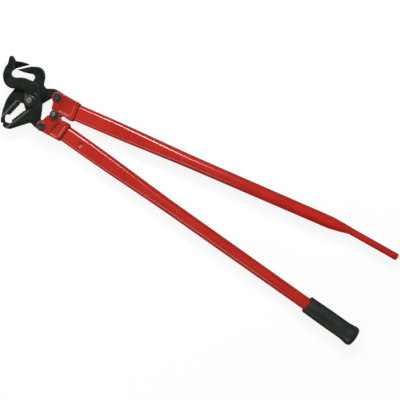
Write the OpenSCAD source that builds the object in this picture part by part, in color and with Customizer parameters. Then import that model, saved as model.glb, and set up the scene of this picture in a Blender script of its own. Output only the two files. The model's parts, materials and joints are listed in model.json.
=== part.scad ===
// Long-handled compound-lever cutters with hook beaks, a gripping jaw and a drift end.
// Lies flat: X runs from the main pivot towards the handle ends, Z is up, floor at z = 0.

/* [Linkage] */
// Height of the plane where the two jaws meet
mid_z = 24; // [22:0.5:30]
// Jaw arm bolts: distance from the main pivot along X
arm_x = 46; // [42:0.5:50]
// Jaw arm bolts: distance either side of the X axis
arm_y = 34.5; // [30:0.5:38]
// Centre bolt: distance from the main pivot along X
centre_x = 58; // [54:0.5:62]
// Running clearance on pivot radii
fit = 0.05; // [0.01:0.01:0.1]

/* [Jaws] */
// Thickness of each jaw layer
jaw_t = 11; // [9:0.5:13]
// Gap between the jaw layers
layer_gap = 0.1; // [0.05:0.05:0.3]
// Thickness of tooth strips and arm eyes
eye_t = 12; // [10:0.5:14]
// Radius of the rear jaw's arm eye
rear_eye_r = 13; // [11:0.5:14]
// Radius of the front jaw's arm eye
front_eye_r = 10; // [9:0.5:12]
// Radius of the rear jaw's hole for its arm bolt, oversize for the open pivot
float_r = 6.4; // [5:0.1:7]
// Teeth on each gripping strip
teeth = 6; // [4:1:9]
// Depth of the teeth
tooth_d = 1.8; // [1:0.1:2.5]
// Radius of the spot face round the pivot nut
spot_r = 18.5; // [14:0.5:20]
// Depth of the spot face
spot_d = 2; // [1:0.5:3]
// Radius of the boss on the back of the rear jaw
boss_r = 16; // [13:0.5:18]
// Slope of the steps beside the tooth strips, from flat
step_deg = 54; // [45:1:75]
// Slope of the sharpening bevels on the beaks, from flat
bevel_deg = 45; // [35:1:60]

/* [Brackets] */
// Thickness of the brackets
bracket_t = 26; // [22:0.5:30]
// Radius of the centre eyes
centre_eye_r = 10; // [9:0.5:11]
// Clearance round eyes that turn inside a bracket
eye_gap = 0.4; // [0.3:0.1:1]
// Clearance round the rear jaw's arm eye, which shifts a little as it turns
float_gap = 1.9; // [1.5:0.1:2.5]
// Half the angle the brackets leave open in front of the centre bolt
flank_deg = 32; // [31:1:40]
// Depth of the forged pockets
pocket_d = 1.8; // [1:0.1:2.5]
// Width of the pockets' sloping sides
pocket_slope = 3; // [1:0.5:4]

/* [Handles] */
// Angle of the upper handle from X
upper_deg = 5.95; // [4:0.05:8]
// Angle of the lower handle from X
lower_deg = 5.85; // [4:0.05:8]
// Width of the flattened tube at the bracket
flat_w = 35; // [30:0.5:38]
// Height of the flattened tube at the bracket
flat_h = 19; // [16:0.5:22]
// Tube wall
wall = 2; // [1.5:0.1:3]
// Tube radius where it becomes round
round_r = 13.9; // [12:0.1:15]
// Tube radius at the far end
end_r = 13.2; // [12:0.1:15]
// Length of the flattened stretch outside the bracket
flat_len = 90; // [60:5:120]
// Where the tube becomes round, from the bracket
round_x = 255; // [200:5:300]
// Length of the upper tube to where its neck starts
upper_len = 575; // [500:5:620]
// Radius of the drift
drift_r = 7.35; // [6:0.05:9]
// Length of the drift outside the tube
drift_len = 120; // [80:5:140]
// Start of the grip along the lower handle
grip_x = 615; // [560:5:640]
// Length of the grip
grip_len = 123; // [100:1:140]
// Radius of the grip at its front
grip_r = 18.2; // [16:0.1:20]
// Radius of the knob at the end of the grip
knob_r = 21.5; // [19:0.1:24]

/* [Fasteners] */
// Pivot bolt radius
pivot_r = 6.35; // [5:0.05:8]
// Pivot nut and head across flats
pivot_af = 19; // [16:0.5:24]
// Link bolt radius
link_r = 4.76; // [4:0.01:6]
// Link nut and head across flats
link_af = 14.3; // [12:0.1:17]
// Height of the link bolt heads
link_head = 6.4; // [5:0.1:8]
// Height of the link nuts
link_nut = 8.3; // [6:0.1:10]
// Thickness of the link washers
link_washer = 1.6; // [1:0.1:2.5]
// Height of the pivot nut
pivot_nut_h = 11; // [8:0.5:13]
// Thickness of the pivot washers
pivot_washer_t = 2.4; // [1.5:0.1:3]

/* [Hidden] */
$fn = 48;
half = eye_t / 2;
lap = layer_gap / 2;
bh = bracket_t / 2;
P1 = [arm_x, arm_y];
P2 = [arm_x, -arm_y];
P3 = [centre_x, 0];
step_r = 13.2;                              // front jaw is thinned to eye_t inside this
float_step_r = 14.8;                        // the same for the rear jaw
strip_r = 19.5;                             // tooth strips stay outside this round the pivot
flank = 14 * [cos(flank_deg), sin(flank_deg)];
upper_at = [95, 26.7];
lower_at = [95, -22.9];
socket = 27;
front_step = [[4.7, -18.3], [-20.2, -77.4]];  // foot of the step beside the front tooth strip
rear_step = [[-28.6, -12], [-40.6, -61]];   // foot of the step beside the rear tooth strip
front_beak = [[-59.9, 44.7], [-37.8, 66.5]];
rear_beak = [[-35, 64], [-64, 37.7]];
edge_t = 1.2;                               // blunt edge left under the beak bevels
drift_at = [upper_at.x + (upper_len + 42) * cos(upper_deg) - 5, 91.5];
spot_z = mid_z + lap + jaw_t - spot_d;
head_top = mid_z - lap - jaw_t - 2.6 - pivot_washer_t - 0.05;
steel_dark = [0.13, 0.15, 0.13];
red = [0.72, 0.12, 0.10];

// ---- outlines: each corner is [x, y, radius] ----
function unit(v) = v / norm(v);
function corner(a, p, b, r, n) =
    r <= 0 ? [p] :
    let (u = unit(a - p), v = unit(b - p), h = acos(u * v) / 2,
         s = p + u * r / tan(h), e = p + v * r / tan(h), c = p + unit(u + v) * r / sin(h),
         sa = atan2(s.y - c.y, s.x - c.x), ea = atan2(e.y - c.y, e.x - c.x),
         turn = (ea - sa + 540) % 360 - 180)
    [for (i = [0:n]) c + r * [cos(sa + turn * i / n), sin(sa + turn * i / n)]];
function xy(p) = [p.x, p.y];
function rounded(pts, n = 5) =
    let (m = len(pts))
    [for (i = [0:m - 1])
        each corner(xy(pts[(i + m - 1) % m]), xy(pts[i]), xy(pts[(i + 1) % m]), pts[i][2], n)];
// Saw line from p to q: n teeth, cut d deep to the left of travel
function saw(p, q, n, d) =
    let (s = (q - p) / n, w = d * unit([-s.y, s.x]))
    [for (i = [0:n - 1]) each [[p.x + i * s.x, p.y + i * s.y, 0],
        [p.x + (i + 0.5) * s.x + w.x, p.y + (i + 0.5) * s.y + w.y, 0]]];

front_outline = concat(
    // hook: nub, beak and throat
    [[-82.5, 58.3, 8], [-79.3, 65.2, 4], [-73.2, 62, 4], [-66.8, 57.5, 4], [-52, 63.4, 30],
     [-37.8, 66.5, 0.4], [-60.3, 44.3, 2.5], [-64.8, 33.8, 7], [-59.3, 26.9, 6],
     [-50, 27.3, 8], [-35.3, 36.5, 40], [-14, 38.6, 40], [-0.7, 38, 22], [15, 21, 60],
     [24.2, 7, 30], [29.5, -4, 20], [36.5, -22.5, 0], [arm_x, -arm_y + front_eye_r, 0],
     [arm_x, -arm_y - front_eye_r, 0], [36, -42.8, 12], [21.5, -38.4, 8],
     // gripping jaw
     [0, -61.5, 30], [-9, -71.5, 10], [-19, -75, 8], [-25.8, -72.4, 5], [-27.6, -67.5, 1],
     [-25, -62.6, 1], [-14.5, -61, 3], [-12.4, -56, 1.5]],
    saw([-14.9, -52], [-1.9, -20.8], teeth, -tooth_d),
    // round the pivot and under the hook
    [[-0.1, -20.3, 0.8], [-9, -11.4, 4], [-12.6, -5, 5], [-14.2, 3, 8], [-24, 15.5, 8],
     [-39, 8.6, 12], [-50.1, 2.3, 16], [-64.6, 4.9, 23], [-76.8, 19.6, 26],
     [-79.8, 36, 26], [-77.9, 45, 12]]);

rear_outline = concat(
    // arm and beak
    [[arm_x, arm_y + rear_eye_r, 0], [30, 47.6, 16], [14.2, 38.8, 7], [5, 43, 8],
     [-1.2, 62.4, 28], [-12, 71.8, 14], [-21, 70.9, 14], [-35, 64, 30], [-58.3, 43, 0.4],
     [-42, 46.3, 20], [-25, 52, 5], [-16.6, 49, 5], [-18.5, 30, 6],
     // gripping jaw
     [-42, 19, 8], [-43.5, 4, 12], [-47.6, -18, 60], [-44, -40, 80], [-40.2, -54.5, 50],
     [-32.9, -68, 3], [-29, -67.9, 1], [-26, -62.9, 1], [-30.8, -57.5, 3], [-32.9, -50, 2.5],
     [-30.5, -47.8, 1.5]],
    saw([-26.6, -46.5], [-19.5, -17.5], teeth, -tooth_d),
    // round the pivot and along the arm
    [[-18.7, -14.4, 1], [-14.8, -11.3, 2], [-6, -13.4, 6], [5, -16.5, 9], [17, -8, 10], [21.8, 7, 4],
     [32.6, 26.5, 0], [arm_x - rear_eye_r + 0.4, arm_y - 2, 0]]);

upper_outline = [
    [34.3, 46.4, 11.8], [93, 46.5, 3], [97.3, 7, 4], [88, 4.4, 8], [72, 6.4, 4],
    [69.6, 1.2, 0.8], [64, 1.2, 0], [centre_x, 0, 0],
    [centre_x - flank.x, flank.y, 12], [43.2, 22, 10], [34.3, 28, 6]];

lower_outline = [
    [34.3, -43.6, 9.1], [91.5, -43.1, 3], [96.8, -4.6, 4], [91.5, -0.9, 4], [74, -1.8, 6],
    [69.8, 0.2, 0.8], [64, 0.2, 0], [centre_x, 0, 0],
    [centre_x - flank.x, -flank.y, 12], [42, -22.5, 12], [34.3, -28, 6]];

// ---- helpers ----
module at(p, z = 0) translate([p.x, p.y, z]) children();
module slab(z0, z1) translate([0, 0, z0]) linear_extrude(z1 - z0) children();
module rod(p, r, z0, z1) at(p, z0) cylinder(r = r, h = z1 - z0);
// Everything above a plane that holds the level line p-q at height z and rises to its left
module above_slope(p, q, z, deg, len) translate([p.x, p.y, z])
    rotate([0, 0, atan2(q.y - p.y, q.x - p.x)]) rotate([deg, 0, 0]) cube([len, 40, 40]);
module along(p, a) translate([p.x, p.y, mid_z]) rotate([0, 0, a]) children();
module section(x0, x1) translate([x0, 0, 0]) rotate([90, 0, 90])
    linear_extrude(x1 - x0) children();
module cone(x0, x1, r0, r1) translate([x0, 0, 0]) rotate([0, 90, 0])
    cylinder(r1 = r0, r2 = r1, h = x1 - x0);
module stadium(w, h) {
    square([w - h, h], center = true);
    for (s = [-1, 1]) translate([s * (w - h) / 2, 0]) circle(d = h);
}
module hexagon(af, h) intersection() {
    rotate([0, 0, 30]) cylinder(r = af / 2 / cos(30), h = h, $fn = 6);
    cylinder(r1 = 0.47 * af + h / tan(30), r2 = 0.47 * af, h = h);
}
module washer(p, z, t, ri, ro) at(p, z) difference() {
    cylinder(r = ro, h = t);
    translate([0, 0, -1]) cylinder(r = ri, h = t + 2);
}
module nut(p, z, af, h, r, up = true) at(p, z) difference() {
    if (up) hexagon(af, h);
    else translate([0, 0, h]) mirror([0, 0, 1]) hexagon(af, h);
    translate([0, 0, -1]) cylinder(r = r + 0.03, h = h + 2);
    // chamfer at the mouth of the thread, on the side the bolt end comes out
    translate([0, 0, up ? h - 0.8 : -0.01])
        cylinder(r1 = up ? r : r + 0.8, r2 = up ? r + 0.8 : r, h = 0.81);
}
// Bolt end with a chamfer, z1 is the tip
module shank(p, r, z0, z1) {
    rod(p, r, z0, z1 - 1);
    at(p, z1 - 1) cylinder(r1 = r, r2 = r - 0.8, h = 1);
}
module shank_down(p, r, z0, z1) {
    rod(p, r, z0 + 1, z1);
    at(p, z0) cylinder(r1 = r - 0.8, r2 = r, h = 1);
}

// ---- jaws ----
module front_strip() intersection() {
    difference() {
        polygon(rounded(front_outline));
        circle(r = strip_r);
    }
    polygon([front_step[0], front_step[1], [-40, -82], [-40, -17]]);
}
module front_jaw() color(steel_dark) difference() {
    union() {
        slab(mid_z + lap, mid_z + lap + jaw_t) polygon(rounded(front_outline));
        slab(mid_z - half, mid_z + 1) front_strip();
        rod(P2, front_eye_r, mid_z - half, mid_z + half);
    }
    slab(mid_z + half, mid_z + 20) front_strip();
    rod(P2, step_r, mid_z + half, mid_z + 20);
    rod([0, 0], spot_r, spot_z, mid_z + 20);
    rod([0, 0], pivot_r + 0.02, 0, 60);
    rod(P2, link_r + fit, 0, 60);
    above_slope(front_step[0], front_step[1], mid_z + half, step_deg, 70);
    above_slope(front_beak[0], front_beak[1], mid_z + edge_t, bevel_deg, 34);
}
module rear_strip() intersection() {
    difference() {
        polygon(rounded(rear_outline));
        circle(r = strip_r);
    }
    polygon([rear_step[0], rear_step[1], [-45, -82], [-12, -82], [-12, -12]]);
}
module rear_jaw() color(steel_dark) difference() {
    union() {
        slab(mid_z - lap - jaw_t, mid_z - lap) polygon(rounded(rear_outline));
        slab(mid_z - 1, mid_z + half) rear_strip();
        rod(P1, rear_eye_r, mid_z - half, mid_z + half);
        rod([0, 0], boss_r, mid_z - lap - jaw_t - 2.55, mid_z - 1);
    }
    slab(0, mid_z - half) rear_strip();
    rod(P1, float_step_r, 0, mid_z - half);
    rod([0, 0], pivot_r + fit, 0, 60);
    rod(P1, float_r, 0, 60);
    above_slope(rear_step[0], rear_step[1], mid_z - lap, step_deg, 70);
    translate([0, 0, 2 * mid_z]) mirror([0, 0, 1])
        above_slope(rear_beak[0], rear_beak[1], mid_z + edge_t, bevel_deg, 40);
}

// ---- main pivot ----
module pivot_bolt() color(steel_dark) {
    translate([0, 0, head_top]) mirror([0, 0, 1]) hexagon(pivot_af, head_top);
    shank([0, 0], pivot_r, head_top - 0.5, spot_z + pivot_washer_t + pivot_nut_h + 3.5);
}
module pivot_nut() color(steel_dark)
    nut([0, 0], spot_z + pivot_washer_t, pivot_af, pivot_nut_h, pivot_r);
module pivot_washer_front() color(steel_dark)
    washer([0, 0], spot_z, pivot_washer_t, pivot_r + 0.3, 11.6);
module pivot_washer_rear() color(steel_dark)
    washer([0, 0], head_top, pivot_washer_t, pivot_r + 0.3, 13);

// ---- brackets ----
module fork_slot(p, r) slab(mid_z - half - 0.1, mid_z + half + 0.1) {
    at(p) circle(r = r);
    translate([p.x - 20, p.y - r]) square([20, 2 * r]);
}
// A pocket with sloping sides in each face of a bracket
module pockets(pts) for (side = [0, 1]) translate([0, 0, mid_z]) mirror([0, 0, side]) hull() {
    slab(bh, bh + 1) polygon(rounded(pts, 3));
    slab(bh - pocket_d, bh) offset(delta = -pocket_slope) polygon(rounded(pts, 3));
}
module upper_bracket() color(red) difference() {
    union() {
        slab(mid_z - bh, mid_z + bh) polygon(rounded(upper_outline));
        rod(P3, centre_eye_r, mid_z + lap, mid_z + bh);
    }
    rod(P3, centre_eye_r + eye_gap, 0, mid_z + lap);
    fork_slot(P1, rear_eye_r + float_gap);
    along(upper_at, upper_deg) section(-socket, 20) stadium(flat_w, flat_h);
    pockets([[58, 42.5, 4], [86.5, 42.5, 4], [90.2, 10, 4], [59.5, 10, 4]]);
    rod(P1, link_r + 0.02, 0, 60);
    rod(P3, link_r + 0.02, 0, 60);
}
module lower_bracket() color(red) difference() {
    union() {
        slab(mid_z - bh, mid_z + bh) polygon(rounded(lower_outline));
        rod(P3, centre_eye_r, mid_z - bh, mid_z - lap);
    }
    rod(P3, centre_eye_r + eye_gap, mid_z - lap, 60);
    fork_slot(P2, rear_eye_r + eye_gap);
    along(lower_at, -lower_deg) section(-socket, 20) stadium(flat_w, flat_h);
    pockets([[74.5, -5, 4], [91, -5, 4], [88, -40, 4], [66, -40, 4], [67.5, -27, 6]]);
    rod(P2, link_r + 0.02, 0, 60);
    rod(P3, link_r + fit, 0, 60);
}

// ---- link bolts: heads up, nuts below; the centre bolt is the other way up ----
module link_bolt(p) {
    at(p, mid_z + bh + link_washer) hexagon(link_af, link_head);
    shank_down(p, link_r, mid_z - bh - link_washer - link_nut - 0.8, mid_z + bh + link_washer + 0.5);
}
module link_nut_at(p) nut(p, mid_z - bh - link_washer - link_nut, link_af, link_nut, link_r, false);
module front_washer(p) washer(p, mid_z + bh, link_washer, link_r + 0.3, 9);
module rear_washer(p, gap = 0) washer(p, mid_z - bh - link_washer, link_washer - gap, link_r + 0.3, 9);

module upper_link_bolt() color(steel_dark) link_bolt(P1);
module upper_link_nut() color(steel_dark) link_nut_at(P1);
module upper_link_washer_front() color(steel_dark) front_washer(P1);
module upper_link_washer_rear() color(steel_dark) rear_washer(P1);
module lower_link_bolt() color(steel_dark) link_bolt(P2);
module lower_link_nut() color(steel_dark) link_nut_at(P2);
module lower_link_washer_front() color(steel_dark) front_washer(P2);
module lower_link_washer_rear() color(steel_dark) rear_washer(P2);
module centre_bolt() color(steel_dark) {
    at(P3, mid_z - bh - link_washer) mirror([0, 0, 1]) hexagon(link_af, link_head);
    shank(P3, link_r, mid_z - bh - link_washer - 0.5, mid_z + bh + link_washer + link_nut + 2);
}
module centre_nut() color(steel_dark) nut(P3, mid_z + bh + link_washer, link_af, link_nut, link_r);
module centre_washer_front() color(steel_dark) front_washer(P3);
module centre_washer_rear() color(steel_dark) rear_washer(P3, 0.05);

// ---- handles ----
// Flattened at the bracket, round further on
module tube_body(w, h, r0, r1, len) {
    section(-socket, flat_len) stadium(w, h);
    hull() {
        section(flat_len, flat_len + 0.1) stadium(w, h);
        section(round_x - 0.1, round_x) circle(r = r0);
    }
    cone(round_x, len, r0, r1);
}
module tube_bore(len)
    tube_body(flat_w - 2 * wall, flat_h - 2 * wall, round_r - wall, end_r - wall, len);
module upper_tube() color(red) difference() {
    along(upper_at, upper_deg) difference() {
        union() {
            tube_body(flat_w, flat_h, round_r, end_r, upper_len);
            cone(upper_len, upper_len + 23, end_r, 10.9);
            cone(upper_len + 23, upper_len + 42, 10.9, drift_r + 0.6);
        }
        tube_bore(upper_len - 2);
        translate([-socket - 1, 0, 0]) section(0, 1.5) stadium(flat_w - 2 * wall, flat_h - 2 * wall);
    }
    along(drift_at, 0) cone(-18, 60, drift_r - 0.4, drift_r - 0.4);
}
module lower_tube() color(red) along(lower_at, -lower_deg) difference() {
    union() {
        tube_body(flat_w, flat_h, round_r, end_r, grip_x);
        cone(grip_x, grip_x + 85, end_r, end_r);
    }
    tube_bore(grip_x);
    translate([-socket - 1, 0, 0]) section(0, 1.5) stadium(flat_w - 2 * wall, flat_h - 2 * wall);
    cone(grip_x - 0.1, grip_x + 86, end_r - wall, end_r - wall);
    // crimp dimple
    translate([41, 0, flat_h / 2 + 9]) sphere(r = 10.2);
}
module drift_rod() color(red) along(drift_at, 0) {
    cone(-17.5, 7, drift_r - 0.4, drift_r - 0.4);
    cone(7, drift_len - 1.5, drift_r, drift_r);
    cone(drift_len - 1.5, drift_len, drift_r, drift_r - 1.5);
}
module grip() color([0.16, 0.19, 0.16]) along(lower_at, -lower_deg) translate([grip_x, 0, 0])
    rotate([0, 90, 0]) difference() {
        rotate_extrude() polygon(rounded([
            [0, 0, 0], [grip_r, 0, 2], [grip_r + 0.9, 60, 200], [grip_r + 0.4, grip_len - 26, 20],
            [knob_r, grip_len - 12.5, 8], [knob_r - 1, grip_len - 2, 7], [0, grip_len, 0]]));
        translate([0, 0, -1]) cylinder(r = end_r + 0.05, h = 87);
    }

front_jaw();
rear_jaw();
pivot_bolt();
pivot_nut();
pivot_washer_front();
pivot_washer_rear();
upper_bracket();
lower_bracket();
upper_link_bolt();
upper_link_nut();
upper_link_washer_front();
upper_link_washer_rear();
lower_link_bolt();
lower_link_nut();
lower_link_washer_front();
lower_link_washer_rear();
centre_bolt();
centre_nut();
centre_washer_front();
centre_washer_rear();
upper_tube();
lower_tube();
drift_rod();
grip();
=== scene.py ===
"""The looks of long-handled cutters with hook beaks, a gripping jaw and a drift end."""
import json
from math import cos, pi, radians, sin, tan

import bmesh
import bpy
import numpy as np
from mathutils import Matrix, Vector

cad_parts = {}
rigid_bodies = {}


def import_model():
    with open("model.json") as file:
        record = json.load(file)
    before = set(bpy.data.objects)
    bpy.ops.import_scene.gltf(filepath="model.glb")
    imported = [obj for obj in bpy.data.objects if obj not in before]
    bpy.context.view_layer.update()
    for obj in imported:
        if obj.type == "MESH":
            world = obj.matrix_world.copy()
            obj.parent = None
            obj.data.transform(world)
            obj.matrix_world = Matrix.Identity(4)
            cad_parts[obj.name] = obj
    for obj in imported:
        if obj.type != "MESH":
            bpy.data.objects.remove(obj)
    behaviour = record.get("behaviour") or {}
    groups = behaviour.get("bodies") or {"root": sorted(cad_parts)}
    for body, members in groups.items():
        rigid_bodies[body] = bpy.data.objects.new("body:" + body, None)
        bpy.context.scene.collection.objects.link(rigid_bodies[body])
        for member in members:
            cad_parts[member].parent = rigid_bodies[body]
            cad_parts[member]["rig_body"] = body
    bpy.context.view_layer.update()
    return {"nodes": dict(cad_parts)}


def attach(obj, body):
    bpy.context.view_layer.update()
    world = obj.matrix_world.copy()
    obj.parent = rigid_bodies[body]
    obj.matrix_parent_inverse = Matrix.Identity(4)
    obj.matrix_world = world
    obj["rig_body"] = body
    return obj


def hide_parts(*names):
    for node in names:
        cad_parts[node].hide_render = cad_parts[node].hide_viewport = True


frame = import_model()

MM = 0.001

# ---------------------------------------------------------------- places, in mm, as in the CAD
MID = 24.0                      # plane where the jaws meet, and the axis height of both handles
P0 = (0.0, 0.0)                 # main pivot
P1 = (46.0, 34.5)               # rear jaw's arm bolt
P2 = (46.0, -34.5)              # front jaw's arm bolt
P3 = (58.0, 0.0)                # centre bolt
UPPER = (95.0, 26.7, radians(5.95))     # start and angle of each handle
LOWER = (95.0, -22.9, radians(-5.85))
DRIFT_Y = 91.5                  # the drift's axis, parallel to X
DRIFT_END = 823.6               # its tip
GRIP_X = 615.0                  # mouth of the grip, along the lower handle


# ---------------------------------------------------------------- meshes
def linked(name, data):
    """A new object in the scene."""
    obj = bpy.data.objects.new(name, data)
    bpy.context.scene.collection.objects.link(obj)
    return obj


def object_from(name, verts, faces):
    """A smooth-shaded mesh object from points in mm, with its faces turned outwards."""
    mesh = bpy.data.meshes.new(name)
    mesh.from_pydata((np.asarray(verts, float) * MM).tolist(), [], faces)
    bm = bmesh.new()
    bm.from_mesh(mesh)
    bmesh.ops.recalc_face_normals(bm, faces=bm.faces)
    bm.to_mesh(mesh)
    bm.free()
    mesh.polygons.foreach_set("use_smooth", [True] * len(mesh.polygons))
    return linked(name, mesh)


def points_of(mesh):
    points = np.empty(len(mesh.vertices) * 3)
    mesh.vertices.foreach_get("co", points)
    return points.reshape(-1, 3)


def normals_of(mesh):
    normals = np.empty(len(mesh.vertices) * 3)
    mesh.vertices.foreach_get("normal", normals)
    return normals.reshape(-1, 3)


def edges_of(mesh):
    ends = np.empty(len(mesh.edges) * 2, np.int64)
    mesh.edges.foreach_get("vertices", ends)
    return ends.reshape(-1, 2)


def neighbour_mean(values, edges):
    """Mean of each vertex's neighbours, for each column of values."""
    a, b = edges[:, 0], edges[:, 1]
    n = len(values)
    count = np.bincount(edges.ravel(), minlength=n).clip(1)
    mean = np.empty_like(values)
    for i in range(values.shape[1]):
        column = values[:, i]
        mean[:, i] = (np.bincount(a, column[b], n) + np.bincount(b, column[a], n)) / count
    return mean


def ramp(x, a, b):
    """0 at a, 1 at b, smooth between."""
    t = np.clip((x - a) / (b - a), 0.0, 1.0)
    return t * t * (3 - 2 * t)


def paint(mesh, name, values):
    """Store one number for each vertex, for the materials to read."""
    layer = mesh.attributes.new(name, "FLOAT", "POINT")
    layer.data.foreach_set("value", np.asarray(values, np.float32))


def paint_edges(obj, radius=1.3, spread=2):
    """Attributes edge and hollow: how convex and how concave the surface is at each vertex."""
    mesh = obj.data
    co, edges, normals = points_of(mesh) / MM, edges_of(mesh), normals_of(mesh)
    a, b = edges[:, 0], edges[:, 1]
    step = co[a] - co[b]
    length2 = (step ** 2).sum(1).clip(1e-6)
    bend_a = (step * normals[a]).sum(1) / length2
    bend_b = -(step * normals[b]).sum(1) / length2
    n = len(co)
    degree = np.bincount(edges.ravel(), minlength=n).clip(1)
    bend = (np.bincount(a, bend_a, n) + np.bincount(b, bend_b, n)) / degree
    bend = (bend * 2 * radius)[:, None]
    for _ in range(spread):
        bend = 0.5 * bend + 0.5 * neighbour_mean(bend, edges)
    paint(mesh, "edge", np.clip(bend[:, 0], 0, 1))
    paint(mesh, "hollow", np.clip(-bend[:, 0], 0, 1))


# ---------------------------------------------------------------- round pieces
FASTENER_POINTS = 72            # round every bolt and nut
CORNER_SHARPNESS = 46           # of hexagons; their corners are slightly rounded
CHAMFER_DEG = 30                # of hexagons' ends
THREAD_LENGTH = 13.0            # of every bolt, from its tip


def loft(rings, closed=False):
    """Points and faces through rings of equal length. Open ends are closed with a fan."""
    rings = np.asarray(rings, float)
    m, k = rings.shape[:2]
    verts = rings.reshape(-1, 3)
    faces = []
    for i in range(m if closed else m - 1):
        a, b = i * k, ((i + 1) % m) * k
        faces += [(a + j, b + j, b + (j + 1) % k, a + (j + 1) % k) for j in range(k)]
    if not closed:
        verts = np.vstack([verts, rings[0].mean(0), rings[-1].mean(0)])
        for start, centre in ((0, m * k), ((m - 1) * k, m * k + 1)):
            faces += [(start + j, start + (j + 1) % k, centre) for j in range(k)]
    return verts, faces


def spun(rows, k=FASTENER_POINTS):
    """Rings about the Z axis from (radius, height) rows.

    Each radius or height is one number, or one for each of the k angles.
    """
    phi = np.arange(k) * 2 * pi / k
    rings = []
    for r, z in rows:
        r = np.broadcast_to(r, k)
        rings.append(np.stack([r * np.cos(phi), r * np.sin(phi), np.broadcast_to(z, k)], -1))
    return rings


def arc_rows(r, z, radius, start, end, n=4):
    """Rows round a corner: centre (r, z), angles in degrees from straight out, up positive."""
    return [(r + radius * cos(radians(start + (end - start) * i / n)),
             z + radius * sin(radians(start + (end - start) * i / n))) for i in range(n + 1)]


def hexagon(af, turn):
    """Radius at each angle of a hexagon, af across its flats."""
    phi = np.arange(FASTENER_POINTS) * 2 * pi / FASTENER_POINTS
    facing = 0.0
    for side in range(6):
        toward = np.clip(np.cos(phi - radians(turn + 60 * side)), 0, 1)
        facing = facing + toward ** CORNER_SHARPNESS
    return af / 2 / facing ** (1 / CORNER_SHARPNESS)


def hex_side(af, z_in, z_out, turn):
    """Rows of a hexagon from the flat of its end at z_in, down its chamfer, towards z_out."""
    hexa = hexagon(af, turn)
    way = 1.0 if z_out > z_in else -1.0
    flat = 0.465 * af
    drop = (hexa - flat).clip(0) * tan(radians(CHAMFER_DEG))
    rows = [(flat - 0.8, z_in), (flat - 0.15, z_in), (flat + 0.1, z_in + way * 0.1)]
    for share in (0.5, 0.9):
        radius = np.maximum(flat + 0.15, flat + (hexa - flat) * share)
        rows.append((radius, z_in + way * (0.08 + drop * share)))
    rows.append((hexa - 0.04, z_in + way * (0.2 + drop)))
    rows.append((hexa, z_in + way * (0.5 + drop)))
    return rows


def thread_rows(r, z0, z1, pitch=1.5, depth=0.55):
    """Rows of a real helical thread from z0 to a chamfered tip at z1."""
    phi = np.arange(FASTENER_POINTS) / FASTENER_POINTS
    way = 1.0 if z1 > z0 else -1.0
    rows = []
    steps = max(4, int(abs(z1 - z0) / (pitch / 8)))
    for i in range(steps + 1):
        z = z0 + (z1 - z0) * i / steps
        wave = np.abs(((z / pitch - phi) % 1.0) * 2 - 1)
        groove = depth * np.clip(wave * 1.3 - 0.15, 0, 1)
        tip = max(0.0, 1.1 - abs(z1 - z) * 1.2)
        rows.append((np.minimum(r - groove, r - tip), z))
    rows += [(r - 1.3, z1), (r * 0.45, z1 - way * 0.05), (r * 0.2, z1 - way * 0.12)]
    return rows


def bolt(name, at, head_z, seat_z, tip_z, af, r, turn=30.0):
    """A hexagon-headed bolt: dished head from head_z to seat_z, shank, threaded tip to tip_z."""
    way = 1.0 if head_z > seat_z else -1.0
    dish = [(0.12, 0.25), (0.2, 0.25), (0.24, 0.22), (0.27, 0.03)]
    rows = [(share * af, head_z - way * depth) for share, depth in dish]
    rows += hex_side(af, head_z, seat_z, turn)
    hexa = hexagon(af, turn)
    rows += [(hexa, seat_z + way * 0.3), (hexa - 0.12, seat_z + way * 0.06), (hexa - 0.5, seat_z)]
    rows += [(r + 0.5, seat_z), (r + 0.1, seat_z - way * 0.15), (r, seat_z - way * 0.6)]
    rows += [(r, tip_z + way * (THREAD_LENGTH + more)) for more in (2.0, 0.2)]
    rows += thread_rows(r, tip_z + way * THREAD_LENGTH, tip_z)
    rings = np.array(spun(rows)) + (at[0], at[1], 0)
    return object_from(name, *loft(rings))


def nut(name, at, z0, z1, af, r, turn=30.0):
    """A hexagon nut with chamfers at both ends and a countersunk bore."""
    hexa = hexagon(af, turn)
    sink = [(0.05, 1.1), (0.75, 0.35), (0.95, 0.06), (1.2, 0.0)]
    upper = [(r + out, z1 - down) for out, down in sink]
    lower = [(r + out, z0 + up) for out, up in sink]
    rows = upper + hex_side(af, z1, z0, turn)
    rows += [(hexa, z) for z in np.linspace(z1 - 2.2, z0 + 2.2, 4)]
    rows += hex_side(af, z0, z1, turn)[::-1] + lower[::-1]
    rings = np.array(spun(rows)) + (at[0], at[1], 0)
    return object_from(name, *loft(rings, closed=True))


def washer(name, at, z0, z1, r_in, r_out):
    """A flat washer with a rolled outer edge on top and a sharp punched edge below."""
    soft = 0.45
    rows = [(r_in, z0 + 0.15), (r_in, z1 - 0.3), (r_in + 0.3, z1)]
    rows += [(r_out - 1.2, z1)] + arc_rows(r_out - soft, z1 - soft, soft, 90, 0)
    rows += [(r_out, z0 + 0.25), (r_out - 0.12, z0), (r_in + 0.8, z0), (r_in + 0.15, z0)]
    rings = np.array(spun(rows, 80)) + (at[0], at[1], 0)
    return object_from(name, *loft(rings, closed=True))


# ---------------------------------------------------------------- handles
def placed(points, handle):
    """Points from a handle's own frame, X along it and Z up from its axis, to the tool's."""
    x0, y0, a = handle
    p = np.asarray(points, float)
    return np.stack([x0 + p[..., 0] * cos(a) - p[..., 1] * sin(a),
                     y0 + p[..., 0] * sin(a) + p[..., 1] * cos(a), MID + p[..., 2]], -1)


FLAT_POINTS, ARC_POINTS = 14, 26        # round a tube: along each flat, and round each half


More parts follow.
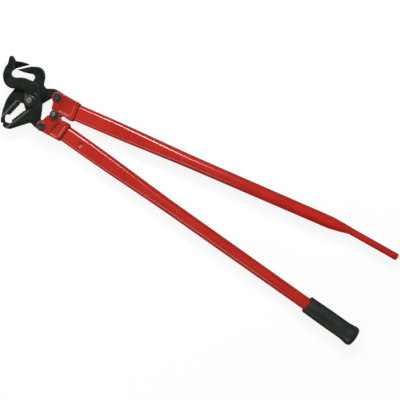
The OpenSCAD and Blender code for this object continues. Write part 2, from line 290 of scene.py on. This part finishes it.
def tube_ring(x, flat, r):
    """A ring of a pressed tube: half rounds of radius r, and flats of half width flat between."""
    turn = np.linspace(-pi / 2, pi / 2, ARC_POINTS)
    across = np.linspace(1, -1, FLAT_POINTS)[1:-1]
    kept = max(flat, 0.5)           # the flats' points stay apart where the tube is round
    reach = kept + (r + flat - kept) * np.cos(turn)
    y = np.concatenate([reach, kept * across, -reach, -kept * across])
    rise, top = r * np.sin(turn), np.full_like(across, r)
    z = np.concatenate([rise, top, -rise, -top])
    return np.stack([np.full_like(y, x), y, z], -1)


PRESSED_FLAT, PRESSED_R = 8.0, 9.5      # half width of the flats and radius, where fully pressed
ROUND_FROM, ROUND_TO = 90, 255          # the tubes turn round between these, in mm from the bracket


def pressed(x):
    """Half width of the flats and radius of the rounds of both tubes, x mm from the bracket."""
    share = float(np.interp(x, [ROUND_FROM, ROUND_TO], [0, 1]))
    share += 0.04 * (ramp(x, 60, ROUND_FROM) - ramp(x, ROUND_FROM, 120))
    share -= 0.03 * (ramp(x, 230, ROUND_TO) - ramp(x, ROUND_TO, 285))
    r_far = float(np.interp(x, [ROUND_TO, 600], [13.9, 13.2]))
    groove = 0.8 * (1 - ramp(x, 0.3, 1.5))      # the paint line where the tube leaves the bracket
    return PRESSED_FLAT * (1 - share), PRESSED_R + (r_far - PRESSED_R) * share - groove


MOUTH_STATIONS = (0.5, 4.0, 0.5)        # close together round the paint line: centre, half, step


def tube_stations(end, *fine):
    """Where a tube's rings are: wider apart along it, close together in each fine stretch."""
    xs = [*np.arange(-12, 96, 4.0), *np.arange(96, 270, 6.0), *np.arange(270, end - 8, 15.0), end]
    for centre, half, step in (MOUTH_STATIONS, *fine):
        kept = [x for x in xs if abs(x - centre) > half]
        xs = [*kept, *np.arange(centre - half, centre + half + 0.01, step)]
    return sorted(xs)


DIMPLE = (41.0, -0.5)           # crimp in the lower tube, from the start of the handle
DIMPLE_DEPTH, DIMPLE_R = 2.3, 6.6


def lower_tube():
    rings = []
    for x in tube_stations(GRIP_X + 30, (DIMPLE[0], 10.0, 0.6)):
        ring = tube_ring(x, *pressed(x))
        away = np.hypot(ring[:, 0] - DIMPLE[0], ring[:, 1] - DIMPLE[1])
        dent = DIMPLE_DEPTH * (1 - ramp(away, 0.6, DIMPLE_R))
        lip = 0.25 * np.exp(-((away - 7.8) / 1.3) ** 2)
        on_top = ring[:, 2] > 0
        ring[:, 2] -= on_top * (dent - lip)
        rings.append(placed(ring, LOWER))
    return object_from("lower_handle_tube", *loft(rings))


def upper_tube():
    rings = [placed(tube_ring(x, *pressed(x)), UPPER) for x in tube_stations(560.0)]
    x0, y0, a = UPPER
    # past here the tube is swaged down round the drift, whose axis is parallel to X:
    # how far along, how much its axis is to the left, and its radius
    neck = [(573, 0.0, 13.15), (580, 0.05, 12.66), (586, 0.1, 11.98), (592, 0.15, 11.27),
            (598, 0.2, 10.57), (604, 0.3, 9.84), (609, 0.45, 9.1), (613, 0.6, 8.5),
            (616, 0.75, 8.05), (618, 0.8, 7.8), (619, 0.8, 7.5)]
    for x, left, r in neck:
        ring = tube_ring(0, 0.0, r)
        lean = a * (1 - ramp(x, 573, 618))
        cx, cy = x0 + x * cos(a), y0 + x * sin(a) + left
        y, z = ring[:, 1], ring[:, 2]
        rings.append(np.stack([cx - y * sin(lean), cy + y * cos(lean), MID + z], -1))
    return object_from("upper_handle_tube", *loft(rings))


def drift_rod():
    r, start = 7.35, 706.0
    rows = [(r - 0.3, start), (r, start + 1)] + [(r, x) for x in np.arange(712, DRIFT_END - 4, 9)]
    rows += [(r, DRIFT_END - 3.6), (r - 0.1, DRIFT_END - 3.0)]
    rows += arc_rows(r - 2.6, DRIFT_END - 2.9, 2.5, 8, 78, 6)
    rows += [(r * 0.45, DRIFT_END - 0.16), (r * 0.2, DRIFT_END - 0.03)]
    rings = np.array(spun(rows, 64))
    rings = np.stack([rings[..., 2], DRIFT_Y + rings[..., 0], MID + rings[..., 1]], -1)
    return object_from("drift", *loft(rings))


def grip():
    mouth = [(12.6, 1.6), (13.5, 1.2), (14.2, 0.5), (15.0, 0.15)]
    mouth += arc_rows(16.5, 1.7, 1.7, 262, 360, 6)
    body = [(18.22, 4), (18.35, 12), (18.6, 25), (18.85, 40), (18.98, 55), (18.95, 70),
            (18.85, 82), (18.82, 90)]
    flare = [(18.95, 95), (19.35, 99.5), (19.9, 103.5), (20.3, 106.5), (20.5, 108)]
    knob = [(20.95, 109.4), (21.2, 111), (21.25, 112.5), (21.12, 114), (20.9, 116), (20.5, 117.7),
            (19.7, 119.2), (18.4, 120.4), (16.5, 121.2), (13.5, 121.6), (10.0, 121.9)]
    dimple = [(7.6, 122.0), (7.2, 121.7), (6.9, 121.4), (3.0, 121.4), (2.2, 120.8), (2.0, 118.4),
              (1.0, 118.2)]
    k = 96
    phi = np.arange(k) * 2 * pi / k
    seam = np.exp(-((((phi + pi / 2) % pi) - pi / 2) / 0.022) ** 2)     # mould line on both sides
    rings = []
    for r, x in [*mouth, *body, *flare, *knob, *dimple]:
        radius = r + (0.16 * seam if 3 < x < 108 else 0)
        place = np.full(k, GRIP_X + x)
        rings.append(np.stack([place, radius * np.cos(phi), radius * np.sin(phi)], -1))
    return object_from("handle_grip", *loft(placed(np.array(rings), LOWER)))


# ---------------------------------------------------------------- forgings
VOXEL = 0.6                     # mesh size of the forgings, in mm
PLAN_SHARE = 0.2                # softening moves points less sideways than up and down
OUTLINE_PASSES = 45
SPOT_FACE_R = 18.5              # round the pivot, on the front jaw

# lines in plan along the teeth, the cutting edges and the folds of the brackets' pockets
FRONT_TEETH = [((-14.9, -52.0), (-1.9, -20.8))]
REAR_TEETH = [((-26.6, -46.5), (-19.5, -17.5))]
FRONT_EDGE = [((-37.8, 66.5), (-60.3, 44.3))]
REAR_EDGE = [((-58.3, 43), (-35, 64)), ((-58.3, 43), (-42, 46.3))]
POCKET_FOLD = [((73.8, -10.0), (68.8, -28.0))]      # left side of the lower bracket's pocket
POCKET_FEET = [((66.0, -38.5), (88.0, -38.5)), ((60.0, 11.8), (84.0, 11.8))]


def distance_to_lines(p, lines):
    """Distance in plan from each point to the nearest of some line segments, in mm."""
    best = np.full(len(p), 1e9)
    for a, b in lines:
        a, b = np.array(a, float), np.array(b, float)
        t = np.clip(((p[:, :2] - a) @ (b - a)) / ((b - a) @ (b - a)), 0, 1)
        best = np.minimum(best, np.hypot(*(p[:, :2] - a - t[:, None] * (b - a)).T))
    return best


def near(p, lines, inner, outer):
    """1 within inner mm of some line segments in plan, 0 beyond outer."""
    return 1 - ramp(distance_to_lines(p, lines), inner, outer)


def off_circle(p, r):
    """Distance in plan from each point to a circle of radius r about the pivot."""
    return np.abs(np.hypot(p[:, 0], p[:, 1]) - r)


def remeshed(name, node):
    """A node's CAD shape as an even grid of small faces."""
    mesh = frame["nodes"][node].data.copy()
    bm = bmesh.new()
    bm.from_mesh(mesh)
    bmesh.ops.remove_doubles(bm, verts=bm.verts, dist=1e-6)
    bm.to_mesh(mesh)
    bm.free()
    rough = linked(name + "_cad", mesh)
    grid = rough.modifiers.new("grid", "REMESH")
    grid.mode, grid.voxel_size, grid.use_smooth_shade = "VOXEL", VOXEL * MM, True
    bpy.context.view_layer.update()
    evaluated = rough.evaluated_get(bpy.context.evaluated_depsgraph_get())
    shape = bpy.data.meshes.new_from_object(evaluated)
    bpy.data.objects.remove(rough)
    shape.name = name
    if "edge" in shape.attributes:              # the wear goes by this name
        shape.attributes.remove(shape.attributes["edge"])
    return shape


def forging(name, node, passes, hold, press=None):
    """A node's shape with the soft edges of a drop forging.

    hold(p) is the share of the softening each point gets, and press(p) how far its upper and
    lower faces are pressed in, in mm.
    """
    shape = remeshed(name, node)
    co, edges = points_of(shape) / MM, edges_of(shape)
    free = hold(co)[:, None]
    for _ in range(OUTLINE_PASSES):             # evens out the outline's facets without shrinking it
        for step in (0.5, -0.51):
            co[:, :2] += step * free * (neighbour_mean(co[:, :2], edges) - co[:, :2])
    share = 0.5 * free * (PLAN_SHARE, PLAN_SHARE, 1.0)
    for _ in range(passes):
        co += share * (neighbour_mean(co, edges) - co)
    if press:
        co[:, 2] -= press(co) * np.sign(co[:, 2] - MID)
    shape.vertices.foreach_set("co", (co * MM).ravel())
    shape.materials.clear()
    shape.polygons.foreach_set("use_smooth", [True] * len(shape.polygons))
    shape.update()
    return linked(name, shape)


def eased(least, distance, inner, outer):
    """A share that is least up to inner mm away and 1 from outer mm on."""
    return least + (1 - least) * ramp(distance, inner, outer)


def front_hold(p):
    """Teeth, cutting edge and the spot face's rim stay crisp."""
    teeth = eased(0.04, distance_to_lines(p, FRONT_TEETH), 2.6, 6.0)
    edge = eased(0.22, distance_to_lines(p, FRONT_EDGE), 1.5, 6.0)
    rim = eased(0.12, np.where(p[:, 2] > 30, off_circle(p, SPOT_FACE_R), 99.0), 0.8, 2.5)
    return np.min([teeth, edge, rim], axis=0)


def rear_hold(p):
    """Teeth and cutting edge stay crisp."""
    teeth = eased(0.04, distance_to_lines(p, REAR_TEETH), 2.6, 6.0)
    edge = eased(0.22, distance_to_lines(p, REAR_EDGE), 1.5, 6.0)
    return np.minimum(teeth, edge)


def bracket_hold(p):
    """The seats of the bolts stay crisper than the rest."""
    bolts = np.min([np.hypot(p[:, 0] - x, p[:, 1] - y) for x, y in (P1, P2, P3)], axis=0)
    return eased(0.35, bolts, 9.3, 11.0)


def pocket_press(p):
    """A shallow fold down the left side of the lower bracket's pocket."""
    return 0.7 * near(p, POCKET_FOLD, 0.0, 5.5) * ramp(np.abs(p[:, 2] - MID), 8.0, 10.0)


# ---------------------------------------------------------------- materials
class Nodes:
    """Short forms for building a material's nodes."""

    def __init__(self, name):
        self.material = bpy.data.materials.new(name)
        self.material.use_nodes = True
        self.tree = self.material.node_tree
        self.shader = self.tree.nodes["Principled BSDF"]
        self.place = self.tree.nodes.new("ShaderNodeTexCoord").outputs["Object"]

    def add(self, kind, **sockets):
        node = self.tree.nodes.new(kind)
        for key, value in sockets.items():
            self.put(node.inputs[key.replace("_", " ")], value)
        return node

    def put(self, socket, value):
        if isinstance(value, bpy.types.NodeSocket):
            self.tree.links.new(value, socket)
        else:
            socket.default_value = value

    def noise(self, size, detail=4.0, rough=0.55, stretch=None):
        """Noise with features of about size mm; stretch scales X, Y and Z."""
        place = self.place
        if stretch:
            mapping = self.add("ShaderNodeMapping", Vector=self.place, Scale=stretch)
            place = mapping.outputs["Vector"]
        node = self.add("ShaderNodeTexNoise", Vector=place, Scale=1 / (size * MM), Detail=detail,
                        Roughness=rough)
        return node.outputs["Fac"]

    def cells(self, size):
        """Cells about size mm across."""
        node = self.add("ShaderNodeTexVoronoi", Vector=self.place, Scale=1 / (size * MM))
        return node.outputs["Distance"]

    def attribute(self, name):
        node = self.tree.nodes.new("ShaderNodeAttribute")
        node.attribute_name = name
        return node.outputs["Fac"]

    def math(self, kind, a, b=0.0, clamp=False):
        node = self.tree.nodes.new("ShaderNodeMath")
        node.operation, node.use_clamp = kind, clamp
        self.put(node.inputs[0], a)
        self.put(node.inputs[1], b)
        return node.outputs[0]

    def scaled(self, value, low, high, to_low=0.0, to_high=1.0):
        """The value eased from to_low at low to to_high at high."""
        node = self.tree.nodes.new("ShaderNodeMapRange")
        node.interpolation_type = "SMOOTHSTEP"
        for socket, v in zip(node.inputs, (value, low, high, to_low, to_high)):
            self.put(socket, v)
        return node.outputs[0]

    def worn(self, noise, spread, low, high, most=1.0):
        """Wear of raised edges, broken up by the noise."""
        patches = self.math("MULTIPLY", self.math("SUBTRACT", noise, 0.5), spread)
        edges = self.math("ADD", self.attribute("edge"), patches)
        return self.scaled(edges, low, high, 0.0, most)

    def mix(self, share, a, b):
        """Colour from a at share 0 to b at share 1."""
        node = self.tree.nodes.new("ShaderNodeMix")
        node.data_type = "RGBA"
        self.put(node.inputs["Factor"], share)
        colours = [s for s in node.inputs if s.type == "RGBA"]
        for socket, value in zip(colours, (a, b)):
            self.put(socket, value if isinstance(value, bpy.types.NodeSocket) else (*value, 1.0))
        return [s for s in node.outputs if s.type == "RGBA"][0]

    def bump(self, *layers):
        """Bump from (height, strength, depth in mm) layers, one on the other."""
        normal = None
        for height, strength, depth in layers:
            node = self.add("ShaderNodeBump", Height=height, Strength=strength, Distance=depth * MM)
            if normal is not None:
                self.put(node.inputs["Normal"], normal)
            normal = node.outputs["Normal"]
        self.put(self.shader.inputs["Normal"], normal)

    def finish(self, **sockets):
        """Set the shader's sockets and give back the material."""
        for key, value in sockets.items():
            self.put(self.shader.inputs[key.replace("_", " ")], value)
        return self.material


def black_forging():
    """Blackened drop-forged steel: scale, grain, bright worn edges, and painted highlights as lighter
    steel on the jaws' steps and rims.
    """
    n = Nodes("black_forging")
    cloud, scale, grain = n.noise(14, 5), n.noise(2.6, 4), n.noise(0.45, 2)
    pits = n.cells(2.2)
    worn = n.worn(n.noise(4.5, 4, 0.6), 1.0, 0.6, 1.05)
    # bare_and_highlight: worn edges, and painted highlights of lighter steel where the jaws' painters
    # set it
    bare_and_highlight = n.math("MAXIMUM", n.math("MULTIPLY", worn, 0.45), n.attribute("bare_and_highlight"), clamp=True)
    oxide = n.mix(n.scaled(cloud, 0.35, 0.7), (0.0042, 0.0068, 0.0042), (0.0076, 0.0114, 0.0074))
    oxide = n.mix(n.scaled(scale, 0.55, 0.75), oxide, (0.0115, 0.0155, 0.0115))
    oxide = n.mix(n.math("MULTIPLY", n.attribute("hollow"), 0.5), oxide, (0.006, 0.007, 0.006))
    streaks = n.noise(0.8, 3, 0.6, stretch=(0.12, 1.0, 1.0))
    steel = n.mix(streaks, (0.10, 0.105, 0.10), (0.21, 0.215, 0.205))
    rough = n.math("ADD", n.math("MULTIPLY", cloud, 0.6), n.math("MULTIPLY", grain, 0.4))
    n.bump((cloud, 0.35, 0.5), (scale, 0.4, 0.18), (pits, 0.12, 0.12), (grain, 0.25, 0.04))
    return n.finish(Base_Color=n.mix(bare_and_highlight, oxide, steel), Metallic=n.math("MULTIPLY", bare_and_highlight, 0.5),
                    Roughness=n.scaled(rough, 0.3, 0.7, 0.30, 0.46), Specular_IOR_Level=0.22)


def red_enamel(name, chips, dark, light):
    """Thick red enamel with orange peel, dust and scuffs, and chips where edges are knocked; painted
    shade darkens its hollows and wherever painted_shade_and_dirt is set.
    """
    n = Nodes(name)
    cloud, peel, fine = n.noise(45, 3), n.noise(1.7, 2, 0.4), n.noise(0.5, 2)
    paint_colour = n.mix(n.scaled(cloud, 0.3, 0.7), dark, light)
    dust = n.scaled(n.noise(6, 6, 0.7), 0.56, 0.8, 0.0, 0.12)
    paint_colour = n.mix(dust, paint_colour, (0.34, 0.018, 0.013))
    shade = n.math("MULTIPLY", n.attribute("hollow"), 0.45)
    paint_colour = n.mix(shade, paint_colour, (0.16, 0.008, 0.007))
    # painted shade: darker red, and duller with less coat, where painted_shade_and_dirt is set; at
    # the tubes' mouths it is also a dark joint
    paint_colour = n.mix(n.attribute("painted_shade_and_dirt"), paint_colour, (0.030, 0.012, 0.010))
    chip = n.worn(n.noise(2.3, 5, 0.72), 2.0, 1.10, 1.16, chips)
    colour = n.mix(chip, paint_colour, n.mix(fine, (0.020, 0.022, 0.020), (0.055, 0.055, 0.052)))
    scuff = n.scaled(n.noise(0.9, 3, 0.6, stretch=(0.05, 1.0, 1.0)), 0.62, 0.74, 0.0, 0.10)
    dull = n.math("MULTIPLY", n.math("MAXIMUM", chip, n.attribute("painted_shade_and_dirt")), 0.3)
    rough = n.math("ADD", n.scaled(cloud, 0.3, 0.7, 0.17, 0.24), n.math("ADD", scuff, dull))
    paint_left = n.math("SUBTRACT", 1.0, chip)
    n.bump((cloud, 0.12, 0.6), (peel, 0.16, 0.06), (paint_left, 0.5, 0.10), (fine, 0.05, 0.02))
    coat = n.scaled(n.attribute("painted_shade_and_dirt"), 0.0, 0.25, 0.55, 0.08)
    return n.finish(Base_Color=colour, Roughness=rough, Specular_IOR_Level=0.22,
                    Coat_Weight=coat, Coat_Roughness=0.13)


def fastener_steel():
    """Phosphated bolts, nuts and washers, brighter on their edges and turned ends."""
    n = Nodes("fastener_steel")
    cloud, grain = n.noise(5, 5), n.noise(0.35, 3)
    worn = n.worn(n.noise(1.6, 5, 0.7), 1.2, 0.55, 0.95)
    bare_and_highlight = n.math("MAXIMUM", n.math("MULTIPLY", worn, 0.7), n.attribute("bare_and_highlight"), clamp=True)
    dark = n.mix(n.scaled(cloud, 0.3, 0.7), (0.014, 0.019, 0.017), (0.033, 0.041, 0.037))
    steel = n.mix(n.scaled(grain, 0.3, 0.7), (0.27, 0.26, 0.225), (0.44, 0.42, 0.37))
    rough = n.scaled(n.math("MULTIPLY", n.math("ADD", cloud, grain), 0.5), 0.3, 0.7, 0.30, 0.46)
    n.bump((cloud, 0.15, 0.2), (grain, 0.22, 0.05))
    return n.finish(Base_Color=n.mix(bare_and_highlight, dark, steel), Metallic=n.scaled(bare_and_highlight, 0.0, 1.0, 0.35, 0.9),
                    Roughness=rough)


def grip_rubber():
    """Greenish-black moulded vinyl with a fine pebble and a dull polish from use."""
    n = Nodes("grip_rubber")
    cloud, pebble, fine = n.noise(18, 4), n.cells(1.1), n.noise(0.3, 2)
    colour = n.mix(n.scaled(cloud, 0.3, 0.7), (0.0100, 0.0142, 0.0102), (0.0170, 0.0225, 0.0170))
    colour = n.mix(n.scaled(n.noise(3, 6, 0.75), 0.6, 0.78, 0.0, 0.35), colour, (0.040, 0.044, 0.038))
    polish = n.math("MULTIPLY", n.attribute("bare_and_highlight"), 0.26)
    rough = n.math("SUBTRACT", n.scaled(cloud, 0.3, 0.7, 0.46, 0.58), polish)
    n.bump((cloud, 0.15, 0.5), (pebble, 0.30, 0.10), (fine, 0.15, 0.03))
    return n.finish(Base_Color=colour, Roughness=rough, Specular_IOR_Level=0.45)


FORGING = black_forging()
BRACKET_RED = red_enamel("bracket_enamel", 1.0, (0.300, 0.0112, 0.0058), (0.340, 0.0138, 0.0074))
TUBE_RED = red_enamel("tube_enamel", 0.0, (0.350, 0.0122, 0.0064), (0.392, 0.0148, 0.0080))
STEEL = fastener_steel()
RUBBER = grip_rubber()
SLOT_FINISH = {"jaws": FORGING, "fasteners": STEEL, "brackets": BRACKET_RED, "tubes": TUBE_RED,
               "drift": TUBE_RED, "grip": RUBBER}
NODE_BODY = {node: obj["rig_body"] for node, obj in frame["nodes"].items()}


def settle(piece, node, slot, bare_and_highlight=None, painted_shade_and_dirt=None):
    """Finish a piece: its wear, painted highlight and painted shade attributes, the material of its
    slot and the body of the node it stands for, whose CAD part it hides.
    """
    paint_edges(piece)
    p, clean = points_of(piece.data) / MM, np.zeros(len(piece.data.vertices))
    paint(piece.data, "bare_and_highlight", bare_and_highlight(p) if bare_and_highlight else clean)
    paint(piece.data, "painted_shade_and_dirt", painted_shade_and_dirt(p, normals_of(piece.data)) if painted_shade_and_dirt else clean)
    piece.data.materials.append(SLOT_FINISH[slot])
    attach(piece, NODE_BODY[node])
    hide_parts(node)


# ---------------------------------------------------------------- the pieces
def front_painted_highlight(p):
    """Painted highlights, as lighter steel: on the step beside the teeth, the spot face's turned rim
    and the edge left of the pivot.

    The rim's painted highlight is widest and brightest on its left.
    """
    z = p[:, 2]
    # where the rim's painted highlight is brightest
    rubbed = near(p, [((1.5, 18.4), (4.8, 17.8))], 1.0, 4.0)
    rim = np.exp(-(off_circle(p, SPOT_FACE_R - 0.1) / (0.7 + 0.6 * rubbed)) ** 2)
    step = near(p, [((6.1, -19.8), (-17.3, -75.4))], 1.5, 2.5)
    edge = near(p, [((-15.8, 7.5), (-14.0, 3.0)), ((-14.0, 3.0), (-13.0, -3.0))], 1.0, 2.4)
    return np.max([(0.22 + 0.78 * rubbed) * rim * ramp(z, 32.2, 32.6),
                   0.48 * step * ramp(z, 30.3, 30.8),
                   0.60 * edge * ramp(z, 31.0, 32.0)], axis=0)


def rear_painted_highlight(p):
    """Painted highlight, as lighter steel, on the step beside the teeth, brighter away from the
    pivot.
    """
    step = near(p, [((-25.8, -12.7), (-37.8, -61.7))], 1.4, 2.4)
    return (0.62 + 0.30 * ramp(-p[:, 1], 14.0, 26.0)) * step * ramp(p[:, 2], 24.6, 25.6)


def along(p, handle):
    """How far each point is along a handle, and to its left, from the handle's start."""
    x, y = p[:, 0] - handle[0], p[:, 1] - handle[1]
    return x * cos(handle[2]) + y * sin(handle[2]), y * cos(handle[2]) - x * sin(handle[2])


def knob_polish(p):
    """The grip's knob is rubbed smooth by the hand."""
    return ramp(along(p, LOWER)[0] - GRIP_X, 101.0, 109.0)


def side_shade(p, normals):
    """Painted shade on the brackets' side walls, darker the steeper they stand."""
    return 0.45 * ramp(1 - np.abs(normals[:, 2]), 0.35, 0.9)


def pocket_shade(p, normals):
    """The same, and painted shade at the foot of both pockets and in the lower one's fold."""
    fold = near(p, POCKET_FOLD, 1.2, 4.4) * ramp(-p[:, 1], -2.0, 22.0)
    foot = near(p, POCKET_FEET, 1.5, 4.0)
    return np.max([side_shade(p, normals), 0.62 * fold, 0.20 * foot], axis=0)


def upper_mouth_shade(p, normals):
    """A dark joint with painted shade in the line where the tube leaves its bracket."""
    return 0.85 * (1 - ramp(along(p, UPPER)[0], 0.8, 2.0))


def lower_mouth_and_crimp_shade(p, normals):
    """The same, and painted shade on the crimp's wall that faces away from the light."""
    x, y = along(p, LOWER)
    # painted shade: the crimp's wall that faces away from the light
    away = np.hypot(x - DIMPLE[0] + 1.6, y - DIMPLE[1] - 1.4)       # it lies to one side
    crimp = (1 - ramp(away, 1.5, 5.0)) * (p[:, 2] > MID)
    return np.maximum(0.85 * (1 - ramp(x, 0.8, 2.0)), 0.5 * crimp)


def bolt_end(at, z, r, way=1, level=0.85):
    """Bare metal on a bolt's threaded end past z."""
    def bare_and_highlight(p):
        inside = 1 - ramp(np.hypot(p[:, 0] - at[0], p[:, 1] - at[1]), r, r + 0.3)
        return level * inside * ramp(way * (p[:, 2] - z), -0.2, 0.4)
    return bare_and_highlight


settle(forging("front_jaw_forging", "front_jaw", 22, front_hold), "front_jaw", "jaws", front_painted_highlight)
settle(forging("rear_jaw_forging", "rear_jaw", 22, rear_hold), "rear_jaw", "jaws", rear_painted_highlight)
settle(forging("upper_bracket_forging", "upper_bracket", 16, bracket_hold),
       "upper_bracket", "brackets", painted_shade_and_dirt=pocket_shade)
settle(forging("lower_bracket_forging", "lower_bracket", 16, bracket_hold, pocket_press),
       "lower_bracket", "brackets", painted_shade_and_dirt=pocket_shade)

settle(upper_tube(), "upper_tube", "tubes", painted_shade_and_dirt=upper_mouth_shade)
settle(lower_tube(), "lower_tube", "tubes", painted_shade_and_dirt=lower_mouth_and_crimp_shade)
settle(drift_rod(), "drift_rod", "drift")
settle(grip(), "grip", "grip", bare_and_highlight=knob_polish)

# main pivot: the head is on the floor side, the nut on top
PIVOT_AF, PIVOT_R = 19.0, 6.35          # across the flats, and thread radius
settle(bolt("pivot_screw", P0, 0.0, 7.9, 49.95, PIVOT_AF, PIVOT_R),
       "pivot_bolt", "fasteners", bolt_end(P0, 46.5, 6.4, level=1.0))
settle(nut("pivot_lock_nut", P0, 35.45, 46.45, PIVOT_AF, PIVOT_R, turn=12), "pivot_nut", "fasteners")
settle(washer("pivot_washer_top", P0, 33.06, 35.44, 6.65, 11.6), "pivot_washer_front", "fasteners")
settle(washer("pivot_washer_under", P0, 7.91, 10.29, 6.65, 13.0), "pivot_washer_rear", "fasteners")

# link bolts: heads on top, nuts below; the centre bolt is the other way up
LINK_AF, LINK_R = 14.3, 4.76
LINK_WASHER = (5.06, 9.0)               # inner and outer radius
for side, at, turn in (("upper", P1, 22), ("lower", P2, 41)):
    settle(bolt(side + "_link_screw", at, 45.0, 38.6, 0.3, LINK_AF, LINK_R, turn),
           side + "_link_bolt", "fasteners", bolt_end(at, 1.1, 4.8, -1))
    settle(nut(side + "_link_hex_nut", at, 1.1, 9.39, LINK_AF, LINK_R, turn + 17),
           side + "_link_nut", "fasteners")
    settle(washer(side + "_link_washer_top", at, 37.01, 38.59, *LINK_WASHER),
           side + "_link_washer_front", "fasteners")
    settle(washer(side + "_link_washer_under", at, 9.41, 10.99, *LINK_WASHER),
           side + "_link_washer_rear", "fasteners")
settle(bolt("centre_screw", P3, 3.0, 9.4, 48.9, LINK_AF, LINK_R, 8),
       "centre_bolt", "fasteners", bolt_end(P3, 46.9, 4.8))
settle(nut("centre_hex_nut", P3, 38.61, 46.9, LINK_AF, LINK_R, 28), "centre_nut", "fasteners")
settle(washer("centre_washer_top", P3, 37.01, 38.59, *LINK_WASHER),
       "centre_washer_front", "fasteners")
settle(washer("centre_washer_under", P3, 9.41, 10.94, *LINK_WASHER),
       "centre_washer_rear", "fasteners")

# ---------------------------------------------------------------- floor, light and camera
FLOOR_SIZE = 60.0               # in m, so that low views don't see past it
bpy.ops.mesh.primitive_plane_add(size=FLOOR_SIZE, location=(0.4, 0.0, 0.0))
floor = bpy.context.object
floor.name = "studio_floor"
paper = Nodes("floor_paper").finish(
    Base_Color=(0.12, 0.12, 0.12, 1.0), Roughness=0.9, Specular_IOR_Level=0.1,
    Emission_Color=(1.0, 1.0, 1.0, 1.0), Emission_Strength=0.85)
floor.data.materials.append(paper)
floor.visible_glossy = False    # the pale floor isn't mirrored in the paint

world = bpy.data.worlds.new("studio")
bpy.context.scene.world = world
world.use_nodes = True
sky = world.node_tree.nodes["Background"]
sky.inputs["Color"].default_value = (0.90, 0.96, 1.0, 1.0)
sky.inputs["Strength"].default_value = 0.06


def softbox(name, place, target, size, power, colour, shine=True):
    """A soft light, in m and W; shine is whether it shows in reflections."""
    lamp = bpy.data.lights.new(name, "AREA")
    lamp.shape, lamp.size, lamp.size_y = "RECTANGLE", size[0], size[1]
    lamp.energy, lamp.color = power, colour
    obj = linked(name, lamp)
    obj.location = place
    obj.rotation_euler = (Vector(target) - Vector(place)).to_track_quat("-Z", "Y").to_euler()
    obj.visible_glossy = shine


softbox("overhead", (0.3, 0.25, 2.3), (0.4, 0.0, 0.0), (3.4, 3.4), 58, (1.0, 1.0, 1.0), shine=False)
softbox("key", (-0.48, 1.25, 1.55), (-0.06, 0.0, 0.0), (1.45, 0.42), 20, (0.97, 1.0, 1.0))
softbox("key_core", (-0.10, 1.23, 1.53), (0.0, 0.0, 0.0), (0.30, 0.36), 11, (0.97, 1.0, 1.0))
softbox("fill", (-0.1, -1.6, 0.62), (0.2, 0.0, 0.0), (1.6, 0.9), 10, (1.0, 0.93, 0.80))
softbox("side", (-1.7, 0.3, 0.95), (0.0, 0.0, 0.0), (0.8, 0.5), 7, (1.0, 1.0, 1.0))

# the camera looks straight down, turned so the tool lies across the picture as in the photo
DISTANCE, VIEW_WIDTH = 2.05, 0.832      # in m; the width is at the tool's middle plane
camera = linked("camera", bpy.data.cameras.new("camera"))
camera.location = (0.407, -0.006, MID * MM + DISTANCE)
camera.rotation_euler = (0.0, 0.0, radians(29.4))
camera.data.sensor_width = 36.0
camera.data.lens = 36.0 * DISTANCE / VIEW_WIDTH
bpy.context.scene.camera = camera
bpy.context.scene.view_settings.view_transform = "Standard"
